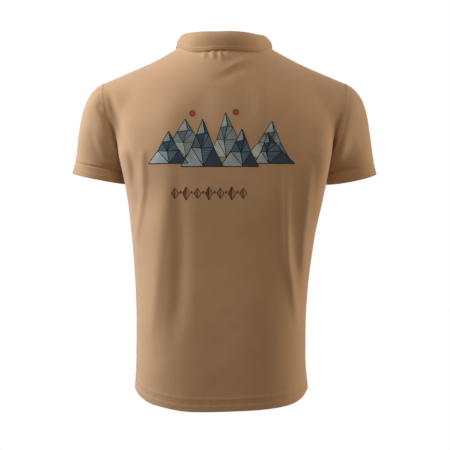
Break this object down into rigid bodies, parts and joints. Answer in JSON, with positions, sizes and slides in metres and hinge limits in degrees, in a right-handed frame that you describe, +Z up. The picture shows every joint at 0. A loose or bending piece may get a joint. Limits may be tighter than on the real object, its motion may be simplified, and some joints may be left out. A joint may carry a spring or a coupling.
{
  "type": "polo shirt",
  "caption": "Short-sleeved knit polo shirt, filled out as if worn, with a fold-down rib collar, rib sleeve bands, a buttoned placket and a drop-tail hem.",
  "frame": {"origin": "middle of the neck at the height of the shoulder points, where the shirt hangs on its wearer", "axes": "+Z up, +X towards the wearer's right sleeve, +Y out of the shirt's front, so the back faces -Y"},
  "size_m": [0.618, 0.2752, 0.7437],
  "materials": {
    "pique": "matte cotton pique knit",
    "rib": "matte flat rib knit",
    "twill": "matte twill tape",
    "satin": "satin woven label",
    "resin": "satin button resin"
  },
  "bodies": {
    "root": {"back_panel": "pique", "front_panel": "pique", "sleeve_left": "pique", "sleeve_right": "pique", "cuff_left": "rib", "cuff_right": "rib", "collar": "rib", "placket_top": "pique", "placket_under": "pique", "button_1": "resin", "button_2": "resin", "button_3": "resin", "neck_tape": "twill", "neck_label": "satin", "vent_tape_left": "twill", "vent_tape_right": "twill"}
  },
  "joints": []
}
